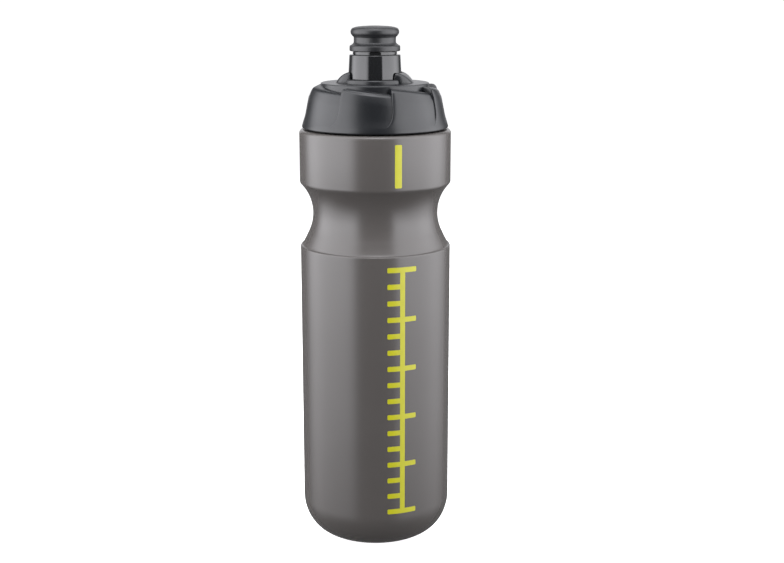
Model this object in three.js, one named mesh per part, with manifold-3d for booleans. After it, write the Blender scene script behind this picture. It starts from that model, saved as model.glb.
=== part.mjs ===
// A squeezable cycling water bottle with a screw lid and a push-pull drinking valve.
// Millimetres, +Z up. The origin is the centre of the base, on the surface that the bottle stands on,
// and the side that carries the printed marks faces -Y.
// Run it with the npm packages three and manifold-3d; the last line exports the assembled group.

import * as THREE from "three";
import { mergeVertices } from "three/addons/utils/BufferGeometryUtils.js";
import Module from "manifold-3d";

const wasm = await Module();
wasm.setup();

// ---- Driving dimensions -------------------------------------------------------------------------

const SEGMENTS = 48; // flats round every turned surface, a multiple of the number of grips

// Bottle: one blow-moulded shell.
const bodyRadius = 37;
const bodyHeight = 148.4; // the straight side ends here
const bottleWall = 1.2;
const baseCornerAcross = 16;
const baseCornerUp = 19.2;
const baseDishRadius = 15;
const baseDishDepth = 2.6;
const dishBend = 0.7; // share of the dish's radius and depth where its slope steepens
const shoulderRise = 4.2; // the sloped band between the side and the waist
const waistDepth = 6.3;
const waistArc = 21.4; // radius of the groove that the fingers and the cage hold
const waistLowAngle = THREE.MathUtils.degToRad(35.7);
const collarHeight = 26;
const collarEdge = 2; // rounding of the collar's top edge

// Neck: carries the outside thread.
const neckRadius = 27.9;
const neckWall = 1.9;
const neckHeight = 13.2;
const neckRimEdge = 0.6;

// Thread: right-hand, single start.
const threadPitch = 4.5;
const threadDepth = 1.3;
const threadFoot = 2.4; // width at the wall
const threadCrest = 1.2; // width at the tip
const threadClearance = 0.4;
const threadRunOut = 0.1; // turns over which each end fades into the wall
const threadFootSunk = 0.4; // depth of its foot in the wall
const neckThreadTurns = 1.3;
const lidThreadTurns = 1.25;
const neckThreadLift = 4.0; // height of the thread's start above the collar

// Lid: skirt with grips, raised centre, fixed spout with the sealing pin.
const lidGap = 0.6; // between the collar and the skirt
const skirtThickness = 6.0;
const skirtSlope = 0.2; // radius lost for each millimetre of height
const skirtHeight = 20.5; // from the skirt's lower edge to the top of a grip
const skirtEdge = 2.8; // rounding of the top edge
const skirtFootEdge = 0.7; // rounding of the lower edge
const plateauRadius = 26.3;
const plateauRise = 0.95; // above the highest point of the grips
const plateauEdge = 0.6;
const roofThickness = 2.3;
const grips = 8;
const gripStart = THREE.MathUtils.degToRad(14.6 - 90); // first step, measured from +X
const gripDepth = 0.7; // how far the face of a grip falls back along it
const gripLedgeDepth = 0.3; // the same at the foot of the recess
const gripBandDepth = 0.1; // the same for the plain band below it
const gripDrop = 2.5; // how far the top of a grip falls along it
const gripLedge = 3.4; // height of the plain band below the grips
const gripLedgeRise = 0.3; // height over which the ledge above that band turns inwards
const gripCorner = 3.2; // height of the slope at the foot of a recess
const gripRoot = 2; // how far a grip reaches inside the raised centre
const gripTailDepth = 0.5; // how far a grip's end is sunk into the next grip
const seatRingWidth = 1.85; // low ring round the valve's foot
const seatRingHeight = 2.1;
const fenderHeight = 5.5;
const fenderLength = 8.5; // half of its length along the valve
const fenderWidth = 8.3; // half of its width
const fenderInset = 2.05; // how far its middle lies inside the sleeve's foot
const fenderAngle = THREE.MathUtils.degToRad(-8); // from +X
const fenderSquareness = 16; // how upright its ends stand: 2 is round
const fenderSunk = 0.1; // depth of its foot in the plateau

// Gasket between the neck's rim and the lid.
const gasketThickness = 1.2;
const gasketWidth = 2.6;
const gasketEdge = 0.3;

// Spout, pin, ring seal and valve.
const spoutRadius = 9.4;
const spoutWall = 2.4;
const spoutHeight = 13.3;
const catchReach = 0.55; // how far the bead that stops the valve stands out
const catchHeight = 9.0; // above the plateau
const catchWidth = 1.0;
const catchRamp = 0.4; // height of its sloped upper side
const sealGrooveDepth = 1.2;
const sealGrooveWidth = 2.0;
const sealGrooveHeight = 10.7; // above the plateau
const sealSection = 0.7; // radius of the ring seal's round section
const pinRadius = 3.0;
const ribCount = 3;
const ribWidth = 1.8;
const ribDepth = 2.3;
const pinTipEdge = 0.5;
const pinTipDrop = 0.6; // below the top of the closed mouthpiece
const pinSegments = 24;
const slideClearance = 0.25;
const seamClearance = 0.3;
const sleeveWall = 2.85; // at its foot
const sleeveHeight = 13.35;
const sleeveTaper = 0.6; // radius lost over the sleeve's height
const sleeveEdge = 0.7;
const sleeveLipHeight = 1.2;
const valveFloat = 0.35; // gap under the closed sleeve
const grooveDepth = 1.35; // finger groove between sleeve and mouthpiece
const grooveHeight = 1.3;
const spigotStep = 1.7; // from the groove in to the spigot, which the mouthpiece is pressed over
const spigotHeight = 2.9;
const spigotWall = 2.4;
const mouthpieceWall = 3.3;
const flangeWall = 2.6; // from the socket out to the flange
const flangeHeight = 2.8;
const flangeEdge = 0.5;
const flangeSlope = 1.1; // height of the cone above the flange
const lipNeckWall = 0.55; // from the socket's radius out to the neck for the teeth
const lipNeckHeight = 2.8;
const lipReach = 1.5; // how far the lip stands out from that neck
const lipHeight = 5.2;
const lipRounding = 1.9; // half-width of the lip's round section
const orificeEdge = 0.5;
const mouthpieceRoof = 2.2;
const cavityCorner = 1.5;
const smallEdge = 0.3; // chamfer of the valve's small edges
const beyond = 5; // how far a cutter runs past what it cuts

// ---- Places that follow from the dimensions -----------------------------------------------------

const waistCentre = bodyRadius - waistDepth + waistArc;
const waistZ = bodyHeight + shoulderRise + waistArc * Math.sin(waistLowAngle);
const waistTopAngle = Math.acos((waistCentre - bodyRadius) / waistArc);
const collarBottom = waistZ + waistArc * Math.sin(waistTopAngle);
const collarTop = collarBottom + collarHeight;
const neckTop = collarTop + neckHeight;
const mouthRadius = neckRadius - neckWall;

const lidBottom = collarTop + lidGap;
const lidBore = neckRadius + threadDepth + threadClearance;
const lidRadius = lidBore + skirtThickness;
const gripTop = lidBottom + skirtHeight;
const plateauTop = gripTop + plateauRise;
const seatZ = neckTop + seamClearance + gasketThickness + seamClearance;
const roofUnder = plateauTop - roofThickness;
const roofRadius = plateauRadius - roofThickness;

const spoutTop = plateauTop + spoutHeight;
const sleeveBottom = plateauTop + valveFloat;
const sleeveTop = sleeveBottom + sleeveHeight;
const catchRadius = spoutRadius + catchReach;
const sealGrooveRadius = spoutRadius - sealGrooveDepth;
const sleeveBore = catchRadius + slideClearance;
const lipBore = spoutRadius + slideClearance;
const sleeveFootRadius = sleeveBore + sleeveWall;
const sleeveTopRadius = sleeveFootRadius - sleeveTaper;
const seatRingRadius = sleeveFootRadius + seamClearance + seatRingWidth;
const fenderRing = sleeveFootRadius - fenderInset;
const grooveRadius = sleeveTopRadius - grooveDepth;
const spigotRadius = grooveRadius - spigotStep;
const socketRadius = spigotRadius + seamClearance;
const flangeRadius = socketRadius + flangeWall;
const lipNeckRadius = socketRadius + lipNeckWall;
const lipRadius = lipNeckRadius + lipReach;
const grooveTop = sleeveTop + grooveHeight;
const mouthpieceBottom = grooveTop + seamClearance;
const spigotTop = grooveTop + spigotHeight;
const flangeTop = mouthpieceBottom + flangeHeight;
const lipNeckBottom = flangeTop + flangeSlope;
const lipBottom = lipNeckBottom + lipNeckHeight;
const mouthpieceTop = lipBottom + lipHeight;
const orificeRadius = pinRadius + seamClearance;
const pinTop = mouthpieceTop - pinTipDrop;

// ---- Helpers ------------------------------------------------------------------------------------

// A closed three.js geometry as a solid that can be joined and cut.
function solidOf(geometry) {
  const g = geometry.clone();
  g.deleteAttribute("normal");
  g.deleteAttribute("uv");
  const merged = mergeVertices(g, 1e-4);
  const mesh = new wasm.Mesh({
    numProp: 3,
    vertProperties: merged.attributes.position.array,
    triVerts: new Uint32Array(merged.index.array),
  });
  return new wasm.Manifold(mesh);
}

// A solid as a named mesh in a material.
function meshOf(name, solid, material) {
  const { vertProperties, triVerts } = solid.getMesh();
  const geometry = new THREE.BufferGeometry();
  geometry.setAttribute("position", new THREE.BufferAttribute(vertProperties, 3));
  geometry.setIndex(new THREE.BufferAttribute(triVerts, 1));
  geometry.computeVertexNormals();
  const mesh = new THREE.Mesh(geometry, material);
  mesh.name = name;
  return mesh;
}

// Turns an outline of [radius, height] points about Z. The outline runs outside upwards, inside downwards.
function turned(outline, segments = SEGMENTS) {
  const points = outline.map(([radius, height]) => new THREE.Vector2(radius, height));
  return solidOf(new THREE.LatheGeometry(points, segments).rotateX(Math.PI / 2));
}

// A turned ring, whose outline closes on itself.
function turnedRing(outline, segments = SEGMENTS) {
  return turned([...outline, outline[0]], segments);
}

// A plain round plug between two heights, as a cutter or a post.
function plug(radius, bottom, top, segments = SEGMENTS) {
  return turned([[0, bottom], [radius, bottom], [radius, top], [0, top]], segments);
}

// Points on an elliptical arc of [radius, height], from one angle to another, in degrees.
function arc(centreRadius, centreHeight, across, up, from, to, steps) {
  return Array.from({ length: steps + 1 }, (_, i) => {
    const angle = THREE.MathUtils.degToRad(from + ((to - from) * i) / steps);
    return [centreRadius + across * Math.cos(angle), centreHeight + up * Math.sin(angle)];
  });
}

// Extrudes a section straight and wraps it round the Z axis. place(turns, out, up) gives the radius and
// height of a section point after that many turns. inward is true if a growing out is a falling radius.
function wrapped(section, turns, steps, startAngle, inward, place) {
  const shape = new THREE.Shape(section.map(([out, up]) => new THREE.Vector2(out, up)));
  const geometry = new THREE.ExtrudeGeometry(shape, { depth: turns, steps, bevelEnabled: false });
  const position = geometry.attributes.position;
  for (let i = 0; i < position.count; i += 1) {
    const along = inward ? position.getZ(i) : turns - position.getZ(i);
    const [radius, height] = place(along, position.getX(i), position.getY(i));
    const angle = Number((startAngle + along * 2 * Math.PI).toFixed(9));
    position.setXYZ(i, radius * Math.cos(angle), radius * Math.sin(angle), height);
  }
  return solidOf(geometry);
}

// A right-hand thread on a wall: outwards on a neck, inwards in a bore.
function thread(wallRadius, turns, startAngle, startHeight, inward) {
  const section = [
    [-threadFootSunk, -threadFoot / 2],
    [threadDepth, -threadCrest / 2],
    [threadDepth, threadCrest / 2],
    [-threadFootSunk, threadFoot / 2],
  ];
  const sign = inward ? -1 : 1;
  return wrapped(section, turns, Math.round(turns * SEGMENTS), startAngle, inward, (along, out, up) => {
    const fade = Math.min(1, along / threadRunOut, (turns - along) / threadRunOut);
    const height = out > 0 ? out * fade - threadFootSunk * (1 - fade) : out;
    return [wallRadius + sign * height, startHeight + along * threadPitch + up];
  });
}

// ---- Bottle -------------------------------------------------------------------------------------

// The shell's skin from the centre of the base to the collar's top edge, inset from the outside.
function bottleSkin(inset, cornerSteps, waistSteps) {
  const footRadius = bodyRadius - baseCornerAcross;
  const side = bodyRadius - inset;
  const waist = waistArc + inset;
  const lowAngle = THREE.MathUtils.radToDeg(waistLowAngle);
  const topAngle = THREE.MathUtils.radToDeg(Math.acos((waistCentre - side) / waist));
  return [
    [0, baseDishDepth + inset],
    [baseDishRadius * dishBend, baseDishDepth * dishBend + inset],
    [baseDishRadius, inset],
    ...arc(footRadius, baseCornerUp, side - footRadius, baseCornerUp - inset, -90, 0, cornerSteps),
    [side, bodyHeight],
    ...arc(waistCentre, waistZ, waist, waist, 180 + lowAngle, 180 - topAngle, waistSteps),
    ...arc(bodyRadius - collarEdge, collarTop - collarEdge, collarEdge - inset, collarEdge - inset, 0, 90, 2),
  ];
}

function bottleShell() {
  const outside = [
    ...bottleSkin(0, 7, 9),
    [neckRadius, collarTop],
    [neckRadius, neckTop - neckRimEdge],
    [neckRadius - neckRimEdge, neckTop],
    [mouthRadius, neckTop],
  ];
  const inside = [...bottleSkin(bottleWall, 5, 7), [mouthRadius, collarTop - bottleWall]];
  const shell = turned([...outside, ...inside.reverse()]);
  return shell.add(thread(neckRadius, neckThreadTurns, 0, collarTop + neckThreadLift, false));
}

// ---- Lid ----------------------------------------------------------------------------------------

function skirtRadiusAt(height) {
  return lidRadius - skirtSlope * (height - lidBottom);
}

// One grip with its share of the skirt. Its face starts flush and its top starts high; both fall away
// to the step where the next grip starts. Its foot is a plain band.
function grip(start) {
  const span = 1 / grips;
  const bandTop = lidBottom + gripLedge;
  const recessTop = bandTop + gripCorner;
  const edgeRadius = skirtRadiusAt(gripTop) - skirtEdge;
  const buried = plateauRadius - gripRoot;
  const section = [
    [buried, lidBottom],
    [lidRadius - skirtFootEdge, lidBottom],
    [lidRadius, lidBottom + skirtFootEdge],
    [skirtRadiusAt(bandTop), bandTop],
    [skirtRadiusAt(bandTop + gripLedgeRise), bandTop + gripLedgeRise],
    [skirtRadiusAt(recessTop), recessTop],
    ...arc(edgeRadius, gripTop - skirtEdge, skirtEdge, skirtEdge, 10, 90, 4),
    [buried, gripTop],
  ];
  const steps = SEGMENTS / grips;
  const tail = span / steps; // runs on inside the next grip, so that the two are joined
  return wrapped(section, span + tail, steps + 1, start, false, (along, out, up) => {
    const share = Math.min(1, along / span);
    const sunk = along > span + tail / 2 ? gripTailDepth : 0;
    const outside = out > buried;
    const full = up < recessTop ? gripLedgeDepth : gripDepth;
    const depth = (up > bandTop ? full : gripBandDepth) * share;
    const drop = up > recessTop ? gripDrop * share : 0;
    const radius = outside ? out - depth + drop * skirtSlope - sunk : out;
    return [radius, up - drop + (up === lidBottom ? sunk : 0)];
  });
}

// The room inside the lid for the neck, the gasket and the flow to the spout.
function lidHollow() {
  return turned([
    [0, lidBottom - beyond],
    [lidBore, lidBottom - beyond],
    [lidBore, seatZ],
    [roofRadius, seatZ],
    [roofRadius, roofUnder],
    [0, roofUnder],
  ]);
}

// One of the two humps that shield the foot of the valve. Its roof slopes outwards and its ends are upright.
function fender(angle) {
  const hump = new THREE.SphereGeometry(1, 28, 20).rotateX(Math.PI / 2);
  const position = hump.attributes.position;
  for (let i = 0; i < position.count; i += 1) {
    const x = position.getX(i);
    const reach = Math.min(1, Math.hypot(x, position.getY(i)));
    const wall = Math.sqrt(1 - reach ** fenderSquareness);
    position.setZ(i, Math.sign(position.getZ(i)) * (1 - x * x) * wall);
  }
  hump.scale(fenderWidth, fenderLength, fenderHeight);
  hump.translate(fenderRing, 0, plateauTop - fenderSunk).rotateZ(angle);
  const below = plug(plateauRadius + beyond, plateauTop - fenderHeight - beyond, plateauTop - seamClearance);
  return solidOf(hump).subtract(below);
}

// The fixed tube that the valve slides on, with the catch bead and the groove of the ring seal.
function spout() {
  const inner = spoutRadius - spoutWall;
  const beadBottom = plateauTop + catchHeight;
  const grooveBottom = plateauTop + sealGrooveHeight;
  return turnedRing([
    [inner, roofUnder],
    [spoutRadius, roofUnder],
    [spoutRadius, beadBottom],
    [catchRadius, beadBottom + catchRamp / 2],
    [catchRadius, beadBottom + catchWidth - catchRamp],
    [spoutRadius, beadBottom + catchWidth],
    [spoutRadius, grooveBottom],
    [sealGrooveRadius, grooveBottom],
    [sealGrooveRadius, grooveBottom + sealGrooveWidth],
    [spoutRadius, grooveBottom + sealGrooveWidth],
    [spoutRadius, spoutTop],
    [inner, spoutTop],
  ]);
}

// The pin that closes the mouthpiece, held in the spout by ribs with the water passages between them.
function sealingPin() {
  const pin = turned(
    [
      [0, roofUnder],
      [pinRadius, roofUnder],
      [pinRadius, pinTop - pinTipEdge],
      [pinRadius - pinTipEdge, pinTop],
      [0, pinTop],
    ],
    pinSegments,
  );
  const reach = spoutRadius - spoutWall / 2; // into the tube's wall
  let joined = pin;
  for (let i = 0; i < ribCount; i += 1) {
    const rib = new THREE.BoxGeometry(reach, ribWidth, ribDepth)
      .translate(reach / 2, 0, roofUnder + ribDepth / 2)
      .rotateZ((i * 2 * Math.PI) / ribCount);
    joined = joined.add(solidOf(rib));
  }
  return joined;
}

function lid() {
  let body = turned([
    [0, lidBottom],
    [plateauRadius, lidBottom],
    [plateauRadius, plateauTop - plateauEdge],
    [plateauRadius - plateauEdge, plateauTop],
    [0, plateauTop],
  ]);
  for (let i = 0; i < grips; i += 1) {
    body = body.add(grip(gripStart + (i * 2 * Math.PI) / grips));
  }
  const seatRing = plug(seatRingRadius, plateauTop - seamClearance, plateauTop + seatRingHeight);
  const clearance = plug(sleeveFootRadius + seamClearance, plateauTop, plateauTop + fenderHeight + beyond);
  const guards = fender(fenderAngle).add(fender(fenderAngle + Math.PI)).add(seatRing).subtract(clearance);
  const passage = plug(spoutRadius - spoutWall, roofUnder - beyond, plateauTop + beyond);
  const quarter = 0.25; // turns between the starts of the two threads
  const threadZ = collarTop + neckThreadLift + (quarter - 0.5) * threadPitch;
  return body
    .add(guards)
    .subtract(lidHollow())
    .subtract(passage)
    .add(spout())
    .add(sealingPin())
    .add(thread(lidBore, lidThreadTurns, quarter * 2 * Math.PI, threadZ, true));
}

function lidGasket() {
  const outer = neckRadius + threadDepth / 2;
  const bottom = neckTop + seamClearance;
  const top = bottom + gasketThickness;
  return turnedRing([
    [outer - gasketWidth, bottom],
    [outer - gasketEdge, bottom],
    [outer, bottom + gasketEdge],
    [outer, top],
    [outer - gasketWidth, top],
  ]);
}

// ---- Valve --------------------------------------------------------------------------------------

function ringSeal() {
  const centreRadius = sealGrooveRadius + seamClearance + sealSection;
  const centreZ = plateauTop + sealGrooveHeight + sealGrooveWidth / 2;
  return solidOf(new THREE.TorusGeometry(centreRadius, sealSection, 8, SEGMENTS).translate(0, 0, centreZ));
}

function valveSleeve() {
  const ceiling = spoutTop + seamClearance;
  return turnedRing([
    [lipBore, sleeveBottom],
    [sleeveFootRadius - smallEdge, sleeveBottom],
    [sleeveFootRadius, sleeveBottom + smallEdge],
    [sleeveTopRadius, sleeveTop - sleeveEdge],
    [sleeveTopRadius - sleeveEdge, sleeveTop],
    [grooveRadius, sleeveTop],
    [grooveRadius, grooveTop],
    [spigotRadius, grooveTop],
    [spigotRadius, spigotTop],
    [spigotRadius - spigotWall, spigotTop],
    [spigotRadius - spigotWall, ceiling],
    [sleeveBore, ceiling],
    [sleeveBore, sleeveBottom + sleeveLipHeight],
    [lipBore, sleeveBottom + sleeveLipHeight - smallEdge],
  ]);
}

function mouthpiece() {
  const cavity = lipNeckRadius - mouthpieceWall;
  const lipMiddle = lipBottom + lipHeight / 2;
  const roofBottom = mouthpieceTop - mouthpieceRoof;
  return turnedRing([
    [socketRadius, mouthpieceBottom],
    [flangeRadius - flangeEdge, mouthpieceBottom],
    [flangeRadius, mouthpieceBottom + flangeEdge],
    [flangeRadius, flangeTop - flangeEdge],
    [flangeRadius - flangeEdge, flangeTop],
    [lipNeckRadius, lipNeckBottom],
    [lipNeckRadius, lipBottom],
    ...arc(lipRadius - lipRounding, lipMiddle, lipRounding, lipHeight / 2, -60, 90, 7),
    [orificeRadius + orificeEdge, mouthpieceTop],
    [orificeRadius, mouthpieceTop - orificeEdge],
    [orificeRadius, roofBottom],
    [cavity - cavityCorner, roofBottom],
    [cavity, roofBottom - cavityCorner],
    [cavity, spigotTop + seamClearance],
    [socketRadius, spigotTop + seamClearance],
  ]);
}

// ---- Materials and assembly ---------------------------------------------------------------------

const smokeShell = new THREE.MeshStandardMaterial({ color: 0x77767a, roughness: 0.35, metalness: 0 });
const lidPlastic = new THREE.MeshStandardMaterial({ color: 0x35363a, roughness: 0.4, metalness: 0 });
const valvePlastic = new THREE.MeshStandardMaterial({ color: 0x2a2b2e, roughness: 0.15, metalness: 0 });
const softRubber = new THREE.MeshStandardMaterial({ color: 0x2f3033, roughness: 0.4, metalness: 0 });
const sealRubber = new THREE.MeshStandardMaterial({ color: 0xd8d6d0, roughness: 0.6, metalness: 0 });

const bottle = new THREE.Group();
bottle.add(meshOf("bottle_shell", bottleShell(), smokeShell));

const closure = new THREE.Group();
closure.add(meshOf("lid", lid(), lidPlastic));
closure.add(meshOf("lid_gasket", lidGasket(), sealRubber));
closure.add(meshOf("spout_ring_seal", ringSeal(), sealRubber));
bottle.add(closure);

const valve = new THREE.Group();
valve.add(meshOf("valve_sleeve", valveSleeve(), valvePlastic));
valve.add(meshOf("mouthpiece", mouthpiece(), softRubber));
closure.add(valve);

export default bottle;
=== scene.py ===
"""The looks of a squeezable cycling water bottle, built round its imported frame.

Sizes in the classes are millimetres, and Blender's objects are metres. +Z is up, the origin is the
centre of the base, and the printed side faces -Y.
"""

import logging
import math
from dataclasses import dataclass
from enum import Enum
from typing import Callable, Sequence

import bpy
from mathutils import Matrix, Vector


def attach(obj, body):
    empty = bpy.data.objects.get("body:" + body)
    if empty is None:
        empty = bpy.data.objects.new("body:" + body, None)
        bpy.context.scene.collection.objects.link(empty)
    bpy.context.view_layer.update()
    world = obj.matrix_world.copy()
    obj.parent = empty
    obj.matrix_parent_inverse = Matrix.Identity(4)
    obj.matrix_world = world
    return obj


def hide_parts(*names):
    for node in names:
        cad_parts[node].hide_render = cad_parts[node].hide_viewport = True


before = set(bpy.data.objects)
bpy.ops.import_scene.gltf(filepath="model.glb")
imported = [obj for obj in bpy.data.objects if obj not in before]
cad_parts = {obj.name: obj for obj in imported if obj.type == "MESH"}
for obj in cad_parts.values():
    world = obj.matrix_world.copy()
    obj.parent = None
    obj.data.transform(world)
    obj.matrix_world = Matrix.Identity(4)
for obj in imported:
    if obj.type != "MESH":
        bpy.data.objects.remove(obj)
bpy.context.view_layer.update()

MM = 0.001
LOG = logging.getLogger("bottle")
Outline = list[tuple[float, float]]


class Body(Enum):
    """The rigid bodies that pieces ride on."""

    BOTTLE = "bottle"
    GASKET = "gasket"
    CAP = "cap"
    VALVE = "valve"


class Slot(Enum):
    """The record's material slots."""

    SHELL = "squeeze_shell"
    LID = "lid_plastic"
    VALVE = "valve_plastic"
    BITE = "soft_rubber"
    SEAL = "seal_rubber"


class Hand(Enum):
    """Which way a wall faces: a neck's thread stands out, a bore's thread stands in."""

    OUTWARDS = 1
    INWARDS = -1


# ---- Colours, nodes and finishes ----------------------------------------------------------------


def linear(hex_colour: str) -> tuple[float, float, float, float]:
    """Turns an sRGB hex colour into Blender's linear one.

    Args:
        hex_colour: six hex digits after a hash sign.

    Returns:
        Linear red, green, blue and an alpha of one.
    """
    shares = [int(hex_colour[i : i + 2], 16) / 255 for i in (1, 3, 5)]
    red, green, blue = (s / 12.92 if s <= 0.04045 else ((s + 0.055) / 1.055) ** 2.4 for s in shares)
    return (red, green, blue, 1.0)


def add_node(tree: bpy.types.NodeTree, kind: str, settings: dict | None = None, inputs: dict | None = None):
    """Adds a node, sets it up and links it.

    Args:
        tree: the node tree to add to.
        kind: the node's type.
        settings: values of the node's own properties.
        inputs: socket name or number to a value, or to the output socket that feeds it.

    Returns:
        The new node.
    """
    node = tree.nodes.new(kind)
    for key, value in (settings or {}).items():
        setattr(node, key, value)
    for key, value in (inputs or {}).items():
        if isinstance(value, bpy.types.NodeSocket):
            tree.links.new(value, node.inputs[key])
        else:
            node.inputs[key].default_value = value
    return node


@dataclass(frozen=True)
class Finish:
    """A moulded surface: two near colours in soft patches, and a grain of its own size and depth."""

    name: str
    colour: str
    shade: str
    patch: float  # size of the colour patches
    roughness: float
    roughness_swing: float  # how far the gloss varies between patches
    grain: float  # size of the surface grain
    grain_depth: float
    ior: float = 1.5
    glow: float = 0.0  # share of the light that wanders under the surface
    glow_reach: float = 1.0

    def material(self) -> bpy.types.Material:
        """Builds the material.

        Returns:
            The new material, whose patterns read Object coordinates.
        """
        material = bpy.data.materials.new(self.name)
        material.use_nodes = True
        tree = material.node_tree
        tree.nodes.clear()
        place = add_node(tree, "ShaderNodeTexCoord")
        patches = self.noise(tree, place, self.patch, 1.0)
        grain = self.noise(tree, place, self.grain, 2.0)
        colour = add_node(tree, "ShaderNodeMix", {"data_type": "RGBA"}, {
            0: patches.outputs["Fac"], 6: linear(self.colour), 7: linear(self.shade),
        })
        gloss = add_node(tree, "ShaderNodeMapRange", None, {
            "Value": patches.outputs["Fac"], "From Min": 0.15, "From Max": 0.85,
            "To Min": self.roughness - self.roughness_swing, "To Max": self.roughness + self.roughness_swing,
        })
        bump = add_node(tree, "ShaderNodeBump", None, {
            "Height": grain.outputs["Fac"], "Distance": self.grain_depth * MM, "Strength": 1.0,
        })
        shader = add_node(tree, "ShaderNodeBsdfPrincipled", None, {
            "Base Color": colour.outputs[2], "Roughness": gloss.outputs["Result"],
            "Normal": bump.outputs["Normal"], "IOR": self.ior, "Metallic": 0.0,
            "Subsurface Weight": self.glow, "Subsurface Scale": self.glow_reach * MM,
        })
        add_node(tree, "ShaderNodeOutputMaterial", None, {"Surface": shader.outputs["BSDF"]})
        return material

    @staticmethod
    def noise(tree: bpy.types.NodeTree, place: bpy.types.Node, size: float, detail: float) -> bpy.types.Node:
        """Adds a noise of a real size.

        Args:
            tree: the node tree to add to.
            place: the texture coordinate node.
            size: the size of one patch, in millimetres.
            detail: the noise's detail.

        Returns:
            The noise node.
        """
        return add_node(tree, "ShaderNodeTexNoise", None, {
            "Vector": place.outputs["Object"], "Scale": 1 / (size * MM), "Detail": detail,
        })


# Blown low-density polyethylene in smoke grey: a satin, slightly waxy skin with a faint ripple from
# the mould.
SMOKE_POLYETHYLENE = Finish("smoke_polyethylene", "#484543", "#44413f", 26, 0.26, 0.012, 5, 0.002, 1.51)

# Moulded polypropylene in charcoal with a fine spark-eroded grain that softens the reflections.
CHARCOAL_POLYPROPYLENE = Finish("charcoal_polypropylene", "#0f1114", "#0d0f12", 9, 0.31, 0.03, 0.7, 0.005, 1.49)

# Polished black styrene: a mirror-like skin, nearly without grain.
POLISHED_STYRENE = Finish("polished_styrene", "#121315", "#0f1011", 8, 0.1, 0.015, 3, 0.001, 1.58)

# Soft thermoplastic elastomer for the lips: dark, satin, a little uneven in its gloss.
BITE_ELASTOMER = Finish("bite_elastomer", "#141517", "#111214", 5, 0.38, 0.03, 1.2, 0.004, 1.5)

# Food-grade silicone in milky white, matt from its mould.
MILKY_SILICONE = Finish("milky_silicone", "#d9d7d0", "#cfccc4", 4, 0.55, 0.04, 0.8, 0.004, 1.42)

# Screen-printed ink in sharp yellow, a touch glossier than the wall under it.
YELLOW_INK = Finish("yellow_screen_ink", "#a4a20c", "#9f9d0e", 3, 0.31, 0.03, 0.6, 0.002, 1.5)


# ---- Bench: how pieces are made -----------------------------------------------------------------


def clear_bench() -> None:
    """Leaves edit mode and deselects everything."""
    if bpy.context.mode != "OBJECT":
        bpy.ops.object.mode_set(mode="OBJECT")
    bpy.ops.object.select_all(action="DESELECT")


def arc(centre: tuple[float, float], across: float, up: float, start: float, end: float, steps: int) -> Outline:
    """Gives points on an elliptical arc.

    Args:
        centre: radius and height of its centre.
        across: its half-width.
        up: its half-height.
        start: its first angle, in degrees.
        end: its last angle, in degrees.
        steps: the number of chords.

    Returns:
        The points, as radius and height.
    """
    angles = [math.radians(start + (end - start) * i / steps) for i in range(steps + 1)]
    return [(centre[0] + across * math.cos(a), centre[1] + up * math.sin(a)) for a in angles]


def draw_chain(points: Sequence[tuple[float, float]]) -> bpy.types.Object:
    """Draws a chain of edges in the XZ plane and leaves it in edit mode, all selected.

    Args:
        points: radius and height of each point, in millimetres.

    Returns:
        The new object.
    """
    clear_bench()
    bpy.ops.mesh.primitive_plane_add(size=MM)
    chain = bpy.context.object
    bpy.ops.object.mode_set(mode="EDIT")
    bpy.ops.mesh.merge(type="CENTER")
    first = Vector((points[0][0], 0, points[0][1])) * MM
    bpy.ops.transform.translate(value=first)
    for before, after in zip(points, points[1:]):
        step = Vector((after[0] - before[0], 0, after[1] - before[1])) * MM
        bpy.ops.mesh.extrude_vertices_move(TRANSFORM_OT_translate={"value": step})
    bpy.ops.mesh.select_all(action="SELECT")
    return chain


def close_skin(merge: float = 0.002) -> None:
    """Merges what meets in the mesh being edited, turns its faces outwards and leaves edit mode."""
    bpy.ops.mesh.select_all(action="SELECT")
    bpy.ops.mesh.remove_doubles(threshold=merge * MM)
    bpy.ops.mesh.normals_make_consistent(inside=False)
    bpy.ops.object.mode_set(mode="OBJECT")


def turn(name: str, outline: Outline, segments: int = 160, smooth: float = 32) -> bpy.types.Object:
    """Turns an outline about the Z axis, as on a lathe.

    Args:
        name: the piece's name.
        outline: points of radius and height; it starts and ends on the axis, or closes on itself.
        segments: flats round the piece.
        smooth: the sharpest angle that is shaded smooth, in degrees.

    Returns:
        The turned piece.
    """
    on_axis = outline[0][0] == 0 and outline[-1][0] == 0
    piece = draw_chain(outline if on_axis else [*outline, outline[0]])
    piece.name = name
    bpy.ops.mesh.spin(steps=segments, angle=math.tau, center=(0, 0, 0), axis=(0, 0, 1))
    close_skin()
    bpy.ops.object.shade_smooth_by_angle(angle=math.radians(smooth))
    return piece


def swing(piece: bpy.types.Object, degrees: float) -> None:
    """Turns a piece's mesh about the Z axis.

    Args:
        piece: the object to change.
        degrees: the angle, from +X towards +Y.
    """
    piece.data.transform(Matrix.Rotation(math.radians(degrees), 4, "Z"))


def apply_modifier(piece: bpy.types.Object, kind: str, settings: dict) -> None:
    """Adds a modifier to the piece, sets it and applies it.

    Args:
        piece: the object to change.
        kind: the modifier's type.
        settings: values of the modifier's properties.
    """
    bpy.context.view_layer.objects.active = piece
    modifier = piece.modifiers.new(kind.lower(), kind)
    for key, value in settings.items():
        setattr(modifier, key, value)
    bpy.ops.object.modifier_apply(modifier=modifier.name)


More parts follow.
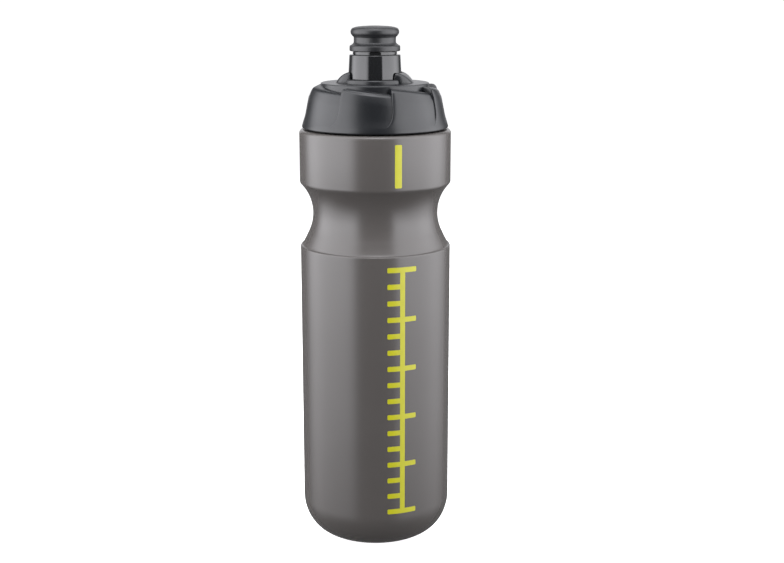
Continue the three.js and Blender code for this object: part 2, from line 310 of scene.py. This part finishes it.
@dataclass(frozen=True)
class Thread:
    """A right-hand, single-start thread of trapezoidal section."""

    wall: float
    hand: Hand
    start: float  # height of its middle line at its start
    turns: float
    offset: float = 0.0  # turns round from +X to its start
    pitch: float = 4.5
    depth: float = 1.3
    foot: float = 2.4
    crest: float = 1.2
    sunk: float = 0.4

    def build(self, name: str) -> bpy.types.Object:
        """Winds the section up the wall and closes its two ends.

        Args:
            name: the piece's name.

        Returns:
            The thread.
        """
        sign = self.hand.value
        inner = self.wall - sign * self.sunk
        outer = self.wall + sign * self.depth
        soft = 0.25
        half_foot, half_crest = self.foot / 2, self.crest / 2
        section = [
            (inner, -half_foot), (outer - sign * soft, -half_crest - soft / 2), (outer, -half_crest + soft),
            (outer, half_crest - soft), (outer - sign * soft, half_crest + soft / 2), (inner, half_foot),
        ]
        thread = draw_chain([*section, section[0]])
        thread.name = name
        bpy.ops.mesh.remove_doubles(threshold=0.002 * MM)
        bpy.ops.object.mode_set(mode="OBJECT")
        apply_modifier(thread, "SCREW", {
            "axis": "Z", "angle": math.tau * self.turns, "screw_offset": self.pitch * self.turns * MM,
            "steps": round(96 * self.turns), "render_steps": round(96 * self.turns),
        })
        bpy.ops.object.mode_set(mode="EDIT")
        bpy.ops.mesh.select_all(action="DESELECT")
        bpy.ops.mesh.select_non_manifold()
        bpy.ops.transform.resize(value=(1 - sign * 0.03,) * 2 + (1,), center_override=(0, 0, 0))
        bpy.ops.mesh.fill_holes(sides=0)
        close_skin()
        swing(thread, self.offset * 360)
        thread.data.transform(Matrix.Translation((0, 0, self.start * MM)))
        bpy.ops.object.shade_smooth_by_angle(angle=math.radians(32))
        return thread


def hand_over(piece: bpy.types.Object, body: Body, slot: Slot, material: bpy.types.Material, *nodes: str) -> None:
    """Dresses a finished piece and ties it to the frame.

    Args:
        piece: the finished object, in place.
        body: the body that it rides on.
        slot: the record's material slot; not used.
        material: its material.
        nodes: the CAD nodes that it stands for.
    """
    piece.data.materials.clear()
    piece.data.materials.append(material)
    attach(piece, body.value)
    if nodes:
        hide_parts(*nodes)
    LOG.info("%s rides on %s, %d faces", piece.name, body.value, len(piece.data.polygons))


# ---- Bottle -------------------------------------------------------------------------------------


@dataclass
class SqueezeBottle:
    """The blown shell with its neck, thread and printed marks."""

    radius: float = 37.0
    wall: float = 1.2
    foot: float = 21.0
    dish: float = 15.0
    dish_depth: float = 2.6
    corner: float = 19.2  # height of the base's rounded corner
    waist: float = 30.7
    waist_height: float = 165.09
    waist_arc: float = 21.4
    shoulder: float = 148.5  # the straight side ends here
    collar_top: float = 206.3
    collar_edge: float = 2.0
    neck: float = 27.9
    mouth: float = 26.0
    rim: float = 219.45
    print_lift: float = 0.06  # thickness of the ink
    stripe_width: float = 3.4
    spine_angle: float = 21.1
    spine_width: float = 2.5

    def skin(self, inset: float) -> Outline:
        """Gives the shell's outline from the middle of the base to the collar's top edge.

        Args:
            inset: the distance inside the outer skin.

        Returns:
            The outline.
        """
        side = self.radius - inset
        centre = self.waist + self.waist_arc
        bend = self.waist_arc + inset
        top = math.degrees(math.acos((centre - self.radius + 0.25 + inset) / bend))
        edge = self.collar_edge - inset
        return [
            (0, self.dish_depth + inset),
            *arc((0, inset), self.dish - 2, self.dish_depth, 84, 24, 7),
            (self.dish - 0.7, inset + 0.25),
            (self.dish + 0.6, inset),
            *arc((self.foot, self.corner), side - self.foot, self.corner - inset, -90, 0, 24),
            (side, self.corner + 40),
            (side, self.corner + 85),
            *arc((side - 0.9, self.shoulder), 0.9, 0.9, 0, 68, 8),
            (side - 0.79, self.shoulder + 0.93),
            (side - 0.93, self.shoulder + 1.02),
            (side - 1.03, self.shoulder + 1.13),
            (side - 1.48, self.shoulder + 1.9),
            (side - 1.91, self.shoulder + 2.7),
            (side - 2.33, self.shoulder + 3.5),
            (side - 2.84, self.shoulder + 4.5),
            (side - 3.32, self.shoulder + 5.5),
            *arc((centre, self.waist_height), bend, bend, 208.1, 180 - top + 1, 26),
            (side - 0.12, self.waist_height + bend * math.sin(math.radians(top)) + 0.35),
            (side, self.waist_height + bend * math.sin(math.radians(top)) + 1.1),
            (side, self.collar_top - self.collar_edge - 10),
            *arc((self.radius - self.collar_edge, self.collar_top - self.collar_edge), edge, edge, 0, 90, 7),
        ]

    def shell(self) -> bpy.types.Object:
        """Turns the shell, with its neck and its hollow.

        Returns:
            The shell.
        """
        neck = [
            *arc((self.neck + 1.2, self.collar_top + 1.2), 1.2, 1.2, 270, 180, 4),
            *arc((self.neck - 0.6, self.rim - 0.6), 0.6, 0.6, 0, 90, 4),
            *arc((self.mouth + 0.4, self.rim - 0.4), 0.4, 0.4, 90, 180, 3),
        ]
        hollow = [*self.skin(self.wall), (self.mouth, self.collar_top - self.wall)]
        return turn("bottle_body", [*self.skin(0), *neck, *hollow[::-1]], 192)

    def patch(self, name: str, middle: float, width: float, low: float, high: float) -> bpy.types.Object:
        """Lays a rounded bar of ink on the side.

        Args:
            name: the piece's name.
            middle: the bar's middle, in degrees from -Y towards +X.
            width: its width round the side.
            low: its lower edge.
            high: its upper edge.

        Returns:
            The bar.
        """
        clear_bench()
        bpy.ops.mesh.primitive_plane_add(size=1)
        bar = bpy.context.object
        bar.name = name
        bpy.ops.object.mode_set(mode="EDIT")
        bpy.ops.transform.resize(value=(width * MM, (high - low) * MM, 1))
        bpy.ops.mesh.bevel(offset=0.55 * MM, segments=4, affect="VERTICES")
        bpy.ops.mesh.select_all(action="SELECT")
        half = width / 2
        cuts = [half * (2 * i / 12 - 1) for i in range(1, 12)]
        for cut in cuts:
            bpy.ops.mesh.select_all(action="SELECT")
            bpy.ops.mesh.bisect(plane_co=(cut * MM, 0, 0), plane_no=(1, 0, 0))
        bpy.ops.mesh.select_all(action="SELECT")
        bpy.ops.mesh.extrude_region_move(TRANSFORM_OT_translate={"value": (0, 0, self.print_lift * MM)})
        close_skin(0.0005)
        for vertex in bar.data.vertices:
            across, along, lift = vertex.co / MM
            angle = math.radians(middle) + across / self.radius
            out = self.radius - self.print_lift / 3 + lift
            height = (low + high) / 2 + along
            vertex.co = Vector((out * math.sin(angle), -out * math.cos(angle), height)) * MM
        bpy.ops.object.mode_set(mode="EDIT")
        bpy.ops.mesh.select_all(action="SELECT")
        bpy.ops.mesh.normals_make_consistent(inside=False)
        bpy.ops.object.mode_set(mode="OBJECT")
        return bar

    def level_marks(self) -> list[bpy.types.Object]:
        """Prints the filling scale: a spine with long and short marks.

        Returns:
            The bars of the scale.
        """
        low, high, marks = 20.5, 144.2, 16
        bars = [self.patch("level_spine", self.spine_angle, self.spine_width, low, high)]
        reach = math.degrees(1 / self.radius)
        for i in range(marks):
            height = low + 1.25 + (high - low - 2.5) * i / (marks - 1)
            is_long = i % 3 == 0
            left = self.spine_angle - (self.spine_width / 2 - 0.6 + 6.9) * reach
            right = self.spine_angle + ((7.0 if is_long else 0.4) + 0.2) * reach
            width = (right - left) / reach
            bars.append(self.patch(f"level_mark_{i + 1:02d}", (left + right) / 2, width, height - 1.25, height + 1.25))
        return bars

    def build(self) -> None:
        """Makes the bottle's pieces, dresses them and ties them to the frame."""
        plastic = SMOKE_POLYETHYLENE.material()
        ink = YELLOW_INK.material()
        hand_over(self.shell(), Body.BOTTLE, Slot.SHELL, plastic, "bottle_shell")
        ridge = Thread(self.neck, Hand.OUTWARDS, self.collar_top + 4.0, 1.3).build("neck_thread")
        hand_over(ridge, Body.BOTTLE, Slot.SHELL, plastic)
        stripe = self.patch("collar_stripe", 17.75, self.stripe_width, 182.0, 202.3)
        hand_over(stripe, Body.BOTTLE, Slot.SHELL, ink)
        for bar in self.level_marks():
            hand_over(bar, Body.BOTTLE, Slot.SHELL, ink)


# ---- Lid ----------------------------------------------------------------------------------------


@dataclass
class BladedLid:
    """The screw lid: slanted grips, raised centre, humps, spout, sealing pin and ring seal."""

    bottom: float = 206.9
    radius: float = 35.65
    slope: float = 0.2
    grip_top: float = 227.4
    edge: float = 2.8
    plateau: float = 228.3
    plateau_radius: float = 26.35
    grips: int = 8
    first_step: float = 15.0  # degrees from -Y towards +X
    depth: float = 0.62  # how far a grip's face falls back
    step_rounding: float = 0.6
    drop: float = 2.5  # how far a grip's top falls
    recess_foot: float = 209.6
    recess_rise: float = 5.0  # height over which the recess reaches its depth
    sweep: float = 5.0  # width of the recess's rounded lower corner
    sweep_height: float = 9.0
    bore: float = 29.6
    seat: float = 221.25
    roof: float = 226.0
    roof_radius: float = 24.0
    passage: float = 7.0
    spout: float = 9.4
    spout_top: float = 241.6
    pin: float = 3.0
    pin_top: float = 254.9
    columns: int = 18

    def face_radius(self, height: float) -> float:
        """Gives the flush radius of the skirt at a height."""
        return self.radius - self.slope * (height - self.bottom)

    def swept(self, height: float) -> float:
        """Gives how far round a grip's step has moved back at a height, in radians."""
        over = self.recess_foot + self.sweep_height - height
        share = min(1.0, max(0.0, over / self.sweep_height))
        return self.sweep * (1 - math.sqrt(1 - share * share)) / self.face_radius(height)

    def rows(self) -> list[tuple[float, float, float, float]]:
        """Gives the section of the lid at the start of a grip, from the spout outwards and back inside.

        Returns:
            For each point its radius, height, share of the grip's depth and share of the grip's drop.
        """
        top, under = self.grip_top, self.bottom
        arc_low = top - self.edge
        crown = self.face_radius(top) - self.edge
        rim = self.plateau + 0.3
        plateau_edge = arc((self.plateau_radius - 0.6, rim - 0.6), 0.6, 0.6, 90, 0, 4)
        brow = arc((crown, arc_low), self.edge, self.edge, 90, 12, 9)
        rows = [(self.passage, self.plateau, 0, 0), (15.4, self.plateau, 0, 0), (16.4, rim, 0, 0)]
        rows += [(r, z, 0, 0) for r, z in plateau_edge]
        rows += [(self.plateau_radius + 0.02, top + 0.22, 0, 1), (self.plateau_radius + 0.08, top + 0.07, 0, 1)]
        rows += [(self.plateau_radius + 0.25, top, 0, 1)]
        rows += [(r, z, 1, 1) for r, z in brow]
        face_top = brow[-1][1]
        for share in (0.86, 0.72, 0.58, 0.46, 0.36, 0.27, 0.19, 0.12, 0.07, 0.03, 0.0):
            height = self.recess_foot + (face_top - self.recess_foot) * share
            lift = min(1.0, (height - self.recess_foot) / self.recess_rise)
            deep = lift * (2 - lift) * 0.5 + lift * lift * (3 - 2 * lift) * 0.5
            rows.append((self.face_radius(height), height, deep, share))
        rows += [(r, z, 0, 0) for r, z in arc((self.radius - 0.8, under + 0.75), 0.75, 0.75, 8, -90, 8)]
        rows += [(r, z, 0, 0) for r, z in arc((self.bore + 0.8, under + 0.8), 0.8, 0.8, 270, 180, 3)]
        rows += [(self.bore, 214, 0, 0), (self.bore, self.seat, 0, 0), (self.roof_radius, self.seat, 0, 0)]
        rows += [(self.roof_radius, self.roof, 0, 0), (self.passage, self.roof, 0, 0)]
        return rows

    def stations(self) -> list[tuple[float, float, float]]:
        """Gives the columns of one grip, from its start to the start of the next one.

        Returns:
            For each column its share of the way round the grip, how far it has fallen away, and its
            distance past the step in millimetres.
        """
        along = [(i / self.columns, i / self.columns, 0.0) for i in range(self.columns + 1)]
        rounding = [math.radians(a) for a in (0, 22.5, 45, 67.5, 90)]
        radius = self.step_rounding
        step = [(1.0, radius / self.depth * (1 - math.sin(a)), radius * (1 - math.cos(a))) for a in rounding]
        return along + step

    def grip_point(self, row: tuple[float, float, float, float], station: tuple[float, float, float]) -> Vector:
        """Places one point of the lid's skin on the first grip.

        Args:
            row: an entry of rows().
            station: an entry of stations().

        Returns:
            The point, in metres.
        """
        radius, height, deep, fallen = row
        share, fade, past = station
        down = self.drop * fade * fallen
        out = radius - self.depth * fade * deep + (self.slope * down if deep else 0)
        start_gap = self.step_rounding / self.radius
        span = math.tau / self.grips
        turn_by = start_gap + (span - start_gap) * share + past / self.radius
        swept = self.swept(height - down) if deep else 0.0
        angle = math.radians(self.first_step) + turn_by - swept
        return Vector((out * math.sin(angle), -out * math.cos(angle), height - down)) * MM

    def cap(self) -> bpy.types.Object:
        """Shapes one grip with its share of the lid, copies it round and closes the skin.

        Returns:
            The lid's moulding without its spout.
        """
        rows, stations = self.rows(), self.stations()
        rows.append(rows[0])
        clear_bench()
        bpy.ops.mesh.primitive_grid_add(
            x_subdivisions=len(stations) - 1, y_subdivisions=len(rows) - 1, size=2
        )
        grip = bpy.context.object
        grip.name = "lid_cap"
        for vertex in grip.data.vertices:
            column = round((vertex.co.x + 1) / 2 * (len(stations) - 1))
            line = round((vertex.co.y + 1) / 2 * (len(rows) - 1))
            vertex.co = self.grip_point(rows[line], stations[column])
        bpy.ops.object.mode_set(mode="EDIT")
        bpy.ops.mesh.select_all(action="SELECT")
        bpy.ops.mesh.spin(steps=self.grips, angle=math.tau, dupli=True, center=(0, 0, 0), axis=(0, 0, 1))
        close_skin(0.02)
        bpy.ops.object.shade_smooth_by_angle(angle=math.radians(33))
        return grip

    def spout_tube(self) -> bpy.types.Object:
        """Turns the fixed tube that the valve slides on, with its catch bead and its seal groove."""
        bead, groove = self.plateau + 9.0, self.plateau + 10.7
        return turn("spout_tube", [
            (self.passage, self.roof), (self.spout, self.roof), (self.spout, bead - 0.1),
            (self.spout + 0.2, bead), (self.spout + 0.55, bead + 0.3), (self.spout + 0.55, bead + 0.5),
            (self.spout + 0.2, bead + 0.9), (self.spout, bead + 1.0), (self.spout, groove),
            (8.2, groove), (8.2, groove + 2.0), (self.spout, groove + 2.0),
            (self.spout, self.spout_top - 0.2), (self.spout - 0.2, self.spout_top),
            (self.passage + 0.2, self.spout_top), (self.passage, self.spout_top - 0.2),
        ], 96)

    def sealing_pin(self) -> bpy.types.Object:
        """Turns the pin that closes the mouthpiece."""
        return turn("sealing_pin", [
            (0, self.roof + 0.2), (self.pin, self.roof + 0.2), (self.pin, self.pin_top - 0.8),
            *arc((self.pin - 0.6, self.pin_top - 0.8), 0.6, 0.6, 10, 80, 4),
            (self.pin - 0.9, self.pin_top - 0.15), (0, self.pin_top - 0.35),
        ], 64)

    def pin_rib(self, number: int) -> bpy.types.Object:
        """Makes one of the ribs that hold the pin in the spout.

        Args:
            number: 0, 1 or 2, counted round from +X.

        Returns:
            The rib.
        """
        clear_bench()
        bpy.ops.mesh.primitive_cube_add(size=1)
        rib = bpy.context.object
        rib.name = f"pin_rib_{number + 1}"
        bpy.ops.object.mode_set(mode="EDIT")
        bpy.ops.transform.resize(value=(6.4 * MM, 1.8 * MM, 2.2 * MM))
        bpy.ops.mesh.bevel(offset=0.3 * MM, segments=3, affect="EDGES")
        bpy.ops.mesh.select_all(action="SELECT")
        bpy.ops.transform.translate(value=(5.0 * MM, 0, (self.roof + 1.25) * MM))
        bpy.ops.mesh.spin(steps=1, angle=math.tau * number / 3, dupli=True, center=(0, 0, 0), axis=(0, 0, 1))
        if number:
            bpy.ops.mesh.select_all(action="INVERT")
            bpy.ops.mesh.delete(type="VERT")
        close_skin()
        bpy.ops.object.shade_smooth_by_angle(angle=math.radians(40))
        return rib

    def hump(self, name: str, bearing: float) -> bpy.types.Object:
        """Shapes one of the humps that shield the valve's foot.

        Args:
            name: the piece's name.
            bearing: its middle, in degrees from -Y towards +X.

        Returns:
            The hump, cut clear of the valve.
        """
        clear_bench()
        bpy.ops.mesh.primitive_uv_sphere_add(segments=96, ring_count=96, radius=1)
        hump = bpy.context.object
        hump.name = name
        for vertex in hump.data.vertices:
            x, y, z = vertex.co
            wall = math.sqrt(max(0.0, 1 - math.hypot(x, y) ** 16))
            vertex.co.z = math.copysign((1 - y * y) * wall, z) if wall else 0.0
        bpy.ops.object.mode_set(mode="EDIT")
        bpy.ops.transform.resize(value=(8.5 * MM, 8.3 * MM, 5.5 * MM))
        bpy.ops.mesh.bisect(plane_co=(0, 0, -0.3 * MM), plane_no=(0, 0, 1), use_fill=True, clear_inner=True)
        bpy.ops.mesh.select_all(action="SELECT")
        bpy.ops.transform.translate(value=(0, -11.0 * MM, (self.plateau - 0.1) * MM))
        bpy.ops.object.mode_set(mode="OBJECT")
        swing(hump, bearing)
        cutter = turn("hump_cutter", [(0, 220), (13.5, 220), (13.5, 240), (0, 240)], 192)
        clear_bench()
        hump.select_set(True)
        apply_modifier(hump, "BOOLEAN", {"operation": "DIFFERENCE", "object": cutter, "solver": "EXACT"})
        bpy.data.objects.remove(cutter)
        apply_modifier(hump, "BEVEL", {
            "width": 0.35 * MM, "segments": 3, "limit_method": "ANGLE", "angle_limit": math.radians(50),
        })
        hump.select_set(True)
        bpy.ops.object.shade_smooth_by_angle(angle=math.radians(40))
        return hump

    def build(self) -> None:
        """Makes the lid's pieces, dresses them and ties them to the frame."""
        plastic = CHARCOAL_POLYPROPYLENE.material()
        silicone = MILKY_SILICONE.material()
        hand_over(self.cap(), Body.CAP, Slot.LID, plastic, "lid")
        thread = Thread(self.bore, Hand.INWARDS, 209.18, 1.25, 0.25).build("lid_thread")
        seat_ring = turn("valve_seat_ring", [
            (13.4, self.plateau - 0.3), (15.25, self.plateau - 0.3), (15.15, self.plateau + 0.9),
            *arc((14.2, self.plateau + 1.15), 0.9, 0.95, 0, 90, 8),
            *arc((13.65, self.plateau + 1.85), 0.25, 0.25, 90, 180, 3),
        ], 160)
        moulded = [thread, seat_ring, self.spout_tube(), self.sealing_pin()]
        moulded += [self.pin_rib(number) for number in range(3)]
        moulded += [self.hump("hump_right", 82), self.hump("hump_left", 262)]
        for piece in moulded:
            hand_over(piece, Body.CAP, Slot.LID, plastic)
        ring = turn("spout_ring_seal_detail", arc((9.2, self.plateau + 11.7), 0.72, 0.68, 0, 337.5, 15), 96)
        hand_over(ring, Body.CAP, Slot.SEAL, silicone, "spout_ring_seal")
        gasket = turn("lid_gasket_detail", [
            (26.1, 219.85), (26.3, 219.75), (28.2, 219.75), (28.45, 220.0), (28.45, 220.75),
            (28.2, 220.95), (27.8, 220.95), (27.6, 220.75), (26.9, 220.75), (26.7, 220.95), (26.1, 220.95),
        ], 128)
        hand_over(gasket, Body.GASKET, Slot.SEAL, silicone, "lid_gasket")


# ---- Valve --------------------------------------------------------------------------------------


@dataclass
class PushPullValve:
    """The sliding valve: a hard polished sleeve with a soft mouthpiece pressed over its top."""

    foot: float = 13.0
    shoulder: float = 12.42
    sleeve_bottom: float = 228.7
    sleeve_top: float = 242.0
    groove: float = 10.7
    groove_top: float = 243.3
    bore: float = 10.2
    lip_bore: float = 9.65
    ceiling: float = 241.9
    spigot: float = 9.4
    spigot_bore: float = 7.0
    spigot_top: float = 246.2
    mouth_bottom: float = 243.6
    flange: float = 12.25
    waist: float = 10.2
    lip: float = 11.72
    orifice: float = 3.3
    top: float = 255.5

    def sleeve(self) -> bpy.types.Object:
        """Turns the polished sleeve."""
        return turn("sleeve_polished", [
            (self.lip_bore, self.sleeve_bottom), (self.foot - 0.35, self.sleeve_bottom),
            *arc((self.foot - 0.35, self.sleeve_bottom + 0.35), 0.35, 0.35, -60, 0, 3),
            (self.foot - 0.28, self.sleeve_bottom + 6),
            *arc((self.shoulder - 0.5, self.sleeve_top - 0.5), 0.5, 0.5, 3, 90, 6),
            (self.groove + 0.15, self.sleeve_top), (self.groove, self.sleeve_top + 0.15),
            (self.groove, self.groove_top), (self.spigot, self.groove_top), (self.spigot, self.spigot_top),
            (self.spigot_bore, self.spigot_top), (self.spigot_bore, self.ceiling), (self.bore, self.ceiling),
            (self.bore, self.sleeve_bottom + 1.2), (self.lip_bore, self.sleeve_bottom + 0.9),
        ], 160)

    def mouthpiece(self) -> bpy.types.Object:
        """Turns the soft mouthpiece: flange, waist for the teeth, rolled lip and its opening."""
        low, socket = self.mouth_bottom, self.spigot + 0.1
        return turn("mouthpiece_soft", [
            (socket, low), (self.flange - 0.5, low),
            *arc((self.flange - 0.5, low + 0.5), 0.5, 0.5, -75, 0, 4),
            *arc((self.flange - 0.7, low + 2.1), 0.7, 0.7, 0, 62, 5),
            (11.3, 246.62), (10.87, 246.95),
            *arc((self.waist + 1.1, 248.1), 1.1, 1.1, 230, 180, 4),
            (self.waist - 0.02, 249.3),
            *arc((self.waist + 0.9, 250.0), 0.9, 0.7, 180, 110, 4),
            *arc((self.lip - 1.55, 252.75), 1.55, 1.95, -58, 72, 14),
            (9.6, 254.93), (8.4, 255.2), (6.6, 255.38), (4.9, self.top - 0.03),
            *arc((self.orifice + 0.9, self.top - 0.9), 0.9, 0.9, 90, 180, 5),
            (self.orifice, 253.3), (5.6, 253.3), (6.9, 252.0), (6.9, self.spigot_top + 0.1),
            (socket, self.spigot_top + 0.1),
        ], 160)

    def build(self) -> None:
        """Makes the valve's pieces, dresses them and ties them to the frame."""
        hand_over(self.sleeve(), Body.VALVE, Slot.VALVE, POLISHED_STYRENE.material(), "valve_sleeve")
        hand_over(self.mouthpiece(), Body.VALVE, Slot.BITE, BITE_ELASTOMER.material(), "mouthpiece")


# ---- Studio -------------------------------------------------------------------------------------


@dataclass(frozen=True)
class SoftWall:
    """A soft light curved round the bottle. Azimuths run from -Y towards +X, in degrees.

    It stands upright up to the spring of its dome, and bends over the bottle from there.
    """

    name: str
    radius: float
    spring: float
    brightness: float
    across: tuple[tuple[float, float], ...]  # azimuth, share of the brightness
    upwards: tuple[tuple[float, float], ...]  # way up the wall, share of the brightness

    @staticmethod
    def ramp(tree: bpy.types.NodeTree, place: bpy.types.NodeSocket, stops: tuple[tuple[float, float], ...]):
        """Adds a ramp that runs from the first stop to the last one.

        Args:
            tree: the node tree to add to.
            place: the share of the way from the first stop to the last one.
            stops: the stops, in order.

        Returns:
            The ramp node.
        """
        node = add_node(tree, "ShaderNodeValToRGB", None, {"Fac": place})
        elements = node.color_ramp.elements
        first, last = stops[0][0], stops[-1][0]
        elements[0].color = (stops[0][1],) * 3 + (1,)
        elements[1].color = (stops[-1][1],) * 3 + (1,)
        for at, share in stops[1:-1]:
            elements.new((at - first) / (last - first)).color = (share,) * 3 + (1,)
        return node

    def material(self) -> bpy.types.Material:
        """Builds the glow, whose brightness follows the wall's own UV map.

        Returns:
            The new material.
        """
        material = bpy.data.materials.new(self.name)
        material.use_nodes = True
        tree = material.node_tree
        tree.nodes.clear()
        place = add_node(tree, "ShaderNodeTexCoord")
        shares = add_node(tree, "ShaderNodeSeparateXYZ", None, {0: place.outputs["UV"]})
        across = self.ramp(tree, shares.outputs[0], self.across)
        upwards = self.ramp(tree, shares.outputs[1], self.upwards)
        both = add_node(tree, "ShaderNodeMath", {"operation": "MULTIPLY"}, {
            0: across.outputs[0], 1: upwards.outputs[0],
        })
        level = add_node(tree, "ShaderNodeMath", {"operation": "MULTIPLY"}, {
            0: both.outputs[0], 1: self.brightness,
        })
        glow = add_node(tree, "ShaderNodeEmission", None, {
            "Color": (0.965, 0.965, 1.0, 1.0), "Strength": level.outputs[0],
        })
        add_node(tree, "ShaderNodeOutputMaterial", None, {"Surface": glow.outputs[0]})
        return material

    def build(self) -> None:
        """Bends a sheet round the bottle and lights it."""
        clear_bench()
        bpy.ops.mesh.primitive_grid_add(x_subdivisions=48, y_subdivisions=48, size=2)
        wall = bpy.context.object
        wall.name = self.name
        start, end = self.across[0][0], self.across[-1][0]
        low, high = self.upwards[0][0], self.upwards[-1][0]
        for vertex in wall.data.vertices:
            azimuth = math.radians(start + (end - start) * (vertex.co.x + 1) / 2)
            way = low + (high - low) * (vertex.co.y + 1) / 2
            lean = max(0.0, way - self.spring) / self.radius
            reach = self.radius * math.cos(lean)
            height = min(way, self.spring) + self.radius * math.sin(lean)
            vertex.co = Vector((reach * math.sin(azimuth), -reach * math.cos(azimuth), height)) * MM
        wall.data.materials.append(self.material())
        wall.visible_camera = False


@dataclass
class Studio:
    """The floor, the soft lights and the camera."""

    camera_place: tuple[float, float, float] = (8.25, -668.56, 278.0)
    camera_pitch: float = 12.508
    focal_length: float = 62.86
    floor_colour: str = "#ffffff"

    def floor(self) -> None:
        """Lays the pale floor. The bottle's gloss looks past it, as on a lit glass table."""
        clear_bench()
        bpy.ops.mesh.primitive_circle_add(vertices=96, radius=40, fill_type="NGON")
        floor = bpy.context.object
        floor.name = "studio_floor"
        material = bpy.data.materials.new("white_acrylic_table")
        material.use_nodes = True
        shader = material.node_tree.nodes["Principled BSDF"]
        shader.inputs["Base Color"].default_value = linear(self.floor_colour)
        shader.inputs["Roughness"].default_value = 0.9
        shader.inputs["Emission Color"].default_value = (1, 1, 1, 1)
        shader.inputs["Emission Strength"].default_value = 0.92
        floor.data.materials.append(material)
        floor.visible_glossy = False
        floor.visible_shadow = False
        floor.visible_diffuse = False

    def surroundings(self) -> None:
        """Fills the room with dim light, pale where the camera looks past the floor."""
        world = bpy.data.worlds.new("dim_room")
        bpy.context.scene.world = world
        world.use_nodes = True
        tree = world.node_tree
        tree.nodes.clear()
        path = add_node(tree, "ShaderNodeLightPath")
        dim = add_node(tree, "ShaderNodeBackground", None, {"Color": (1, 1, 1, 1), "Strength": 0.15})
        pale = add_node(tree, "ShaderNodeBackground", None, {"Color": (1, 1, 1, 1), "Strength": 1.0})
        both = add_node(tree, "ShaderNodeMixShader", None, {
            0: path.outputs["Is Camera Ray"], 1: dim.outputs[0], 2: pale.outputs[0],
        })
        add_node(tree, "ShaderNodeOutputWorld", None, {"Surface": both.outputs[0]})

    def lights(self) -> None:
        """Stands a tall soft wall on either side, one high in front and a white sheet behind."""
        tall = (
            (-420, 0.1), (-300, 0.15), (-203, 0.28), (-117, 0.5), (-10, 0.7), (113, 1.02), (220, 1.05),
            (400, 0.95), (616, 0.85), (878, 0.8), (1035, 0.7), (1088, 0.0),
        )
        for wall in (
            SoftWall("soft_wall_left", 600, 250, 4.5, (
                (-127, 0.0), (-119, 0.35), (-110, 0.75), (-99, 1.0), (-40, 1.0), (-32, 0.7), (-25, 0.0),
            ), tall),
            SoftWall("soft_wall_right", 600, 250, 4.2, (
                (31.5, 0.0), (34, 1.0), (97, 1.0), (110, 0.75), (122, 0.4), (138, 0.0),
            ), tall),
            SoftWall("soft_wall_above", 600, 250, 6.5, ((-34, 0.0), (-26, 1.0), (36, 1.0), (40, 0.0)), (
                (480, 0.0), (600, 0.05), (680, 0.2), (773, 0.7), (860, 1.0), (1192, 0.8), (1500, 0.5), (1560, 0.0),
            )),
            SoftWall("white_sheet_behind", 900, 950, 1.0, ((146, 0.0), (158, 1.0), (202, 1.0), (214, 0.0)), (
                (150, 0.0), (230, 1.0), (900, 1.0),
            )),
        ):
            wall.build()

    def camera(self) -> None:
        """Sets up the camera, level from side to side and pitched down."""
        clear_bench()
        bpy.ops.object.camera_add(location=[c * MM for c in self.camera_place])
        camera = bpy.context.object
        camera.rotation_euler = (math.radians(90 - self.camera_pitch), 0, 0)
        camera.data.sensor_width = 36
        camera.data.lens = self.focal_length
        camera.data.clip_start = 0.01
        camera.data.clip_end = 200
        bpy.context.scene.camera = camera

    def build(self) -> None:
        """Sets the stage."""
        self.floor()
        self.surroundings()
        self.lights()
        self.camera()
        bpy.context.scene.view_settings.view_transform = "Standard"


def main() -> None:
    """Builds the studio and the sub-assemblies in order."""
    logging.basicConfig(level=logging.INFO, format="%(message)s")
    builders: list[Callable[[], None]] = [
        Studio().build, SqueezeBottle().build, BladedLid().build, PushPullValve().build,
    ]
    for build in builders:
        build()
    clear_bench()


if __name__ == "__main__":
    main()
